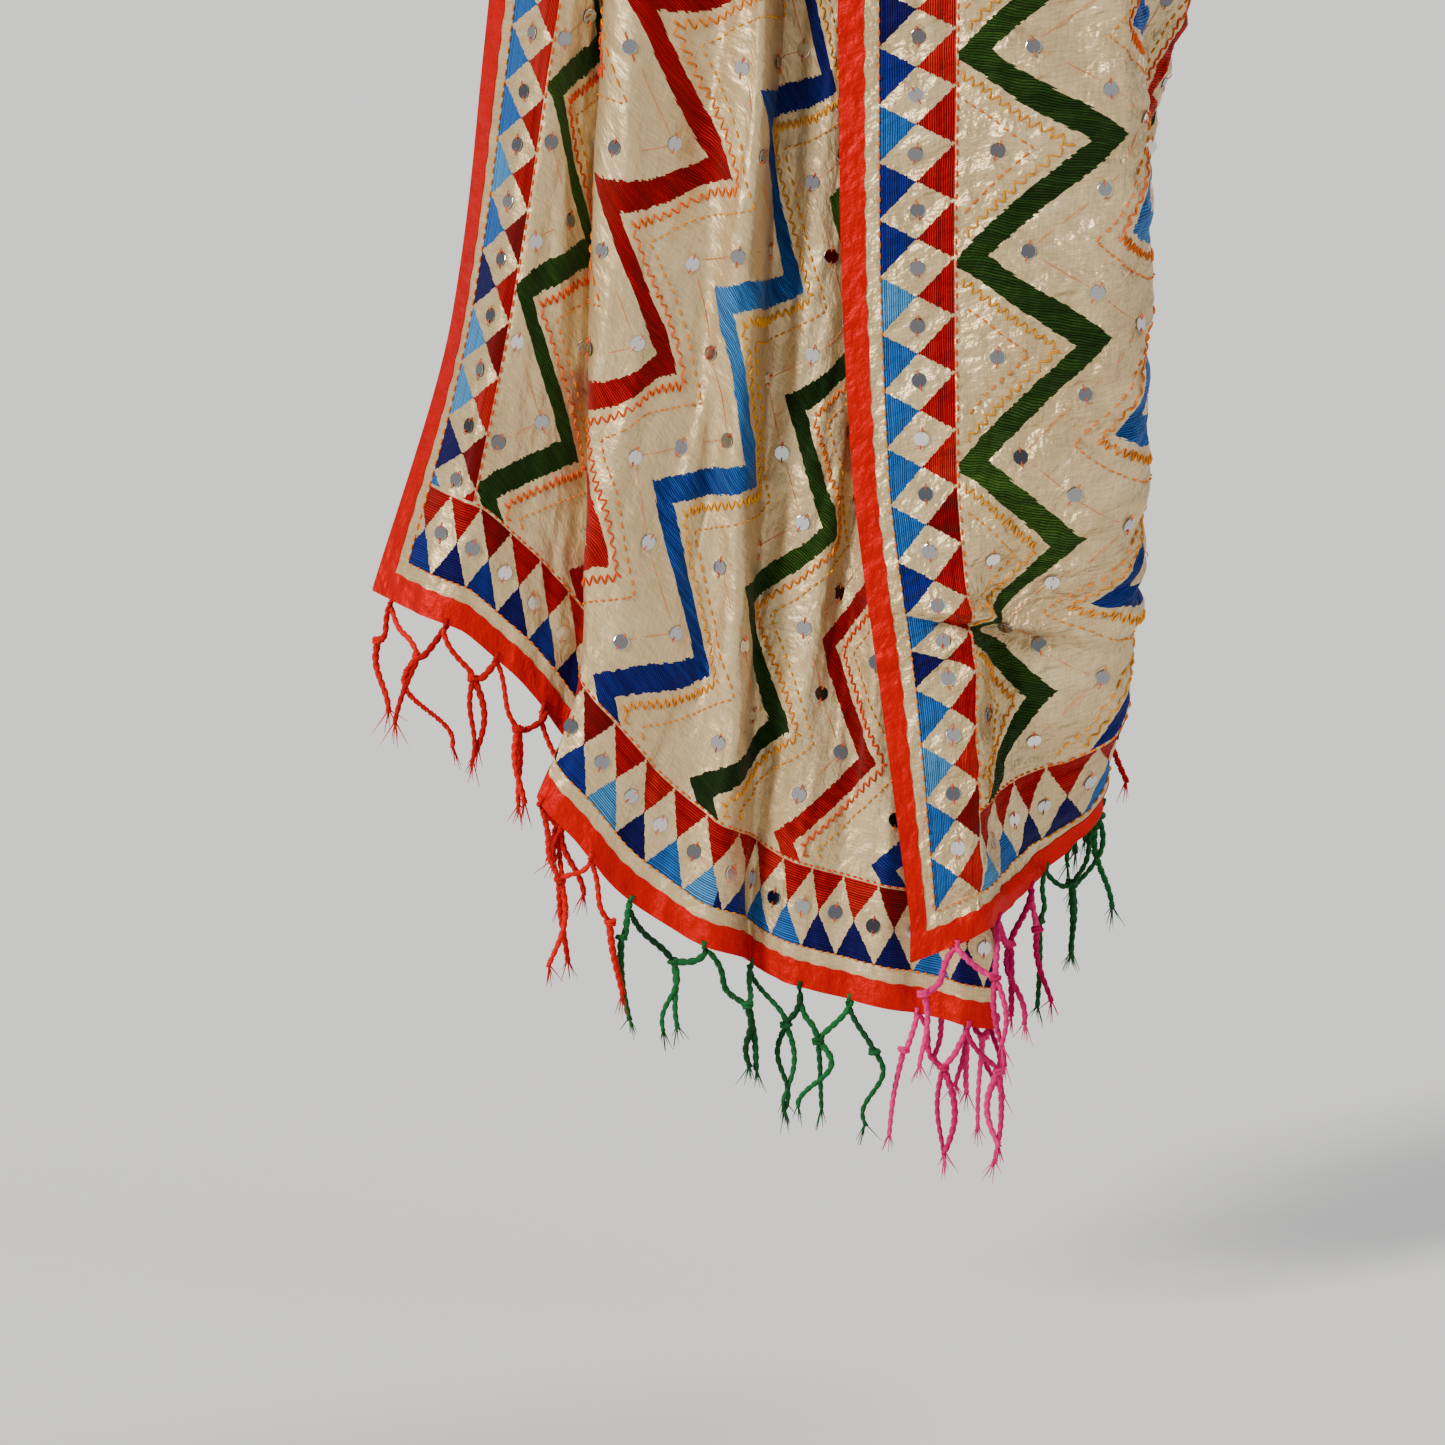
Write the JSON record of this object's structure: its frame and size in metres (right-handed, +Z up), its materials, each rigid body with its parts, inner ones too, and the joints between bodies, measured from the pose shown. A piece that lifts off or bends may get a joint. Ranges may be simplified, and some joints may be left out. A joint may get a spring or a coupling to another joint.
{
  "type": "embroidered dupatta",
  "caption": "Long embroidered silk scarf gathered over one shoulder, both ends falling in front, with taped edges and knotted fringe.",
  "frame": {"origin": "top of the wearer's left shoulder, where the cloth is held up", "axes": "+Z up, -Y to the wearer's front, +X to the wearer's left"},
  "size_m": [0.5724, 0.3701, 1.3344],
  "materials": {
    "cloth": "tissue silk with a soft sheen",
    "tape": "satin ribbon tape",
    "red_thread": "twisted thread",
    "green_thread": "twisted thread",
    "pink_thread": "twisted thread"
  },
  "bodies": {
    "root": {"front_fall_cloth": "cloth", "front_fall_end_tape": "tape", "front_fall_fold_fringe": "red_thread", "front_fall_green_fringe": "green_thread", "front_fall_left_tape": "tape", "front_fall_pink_fringe": "pink_thread", "front_fall_red_fringe": "red_thread", "front_fall_right_tape": "tape", "shoulder_span_cloth": "cloth", "shoulder_span_left_tape": "tape", "shoulder_span_right_tape": "tape", "side_fall_cloth": "cloth", "side_fall_end_tape": "tape", "side_fall_left_tape": "tape", "side_fall_pink_fringe": "pink_thread", "side_fall_right_tape": "tape"}
  },
  "joints": []
}
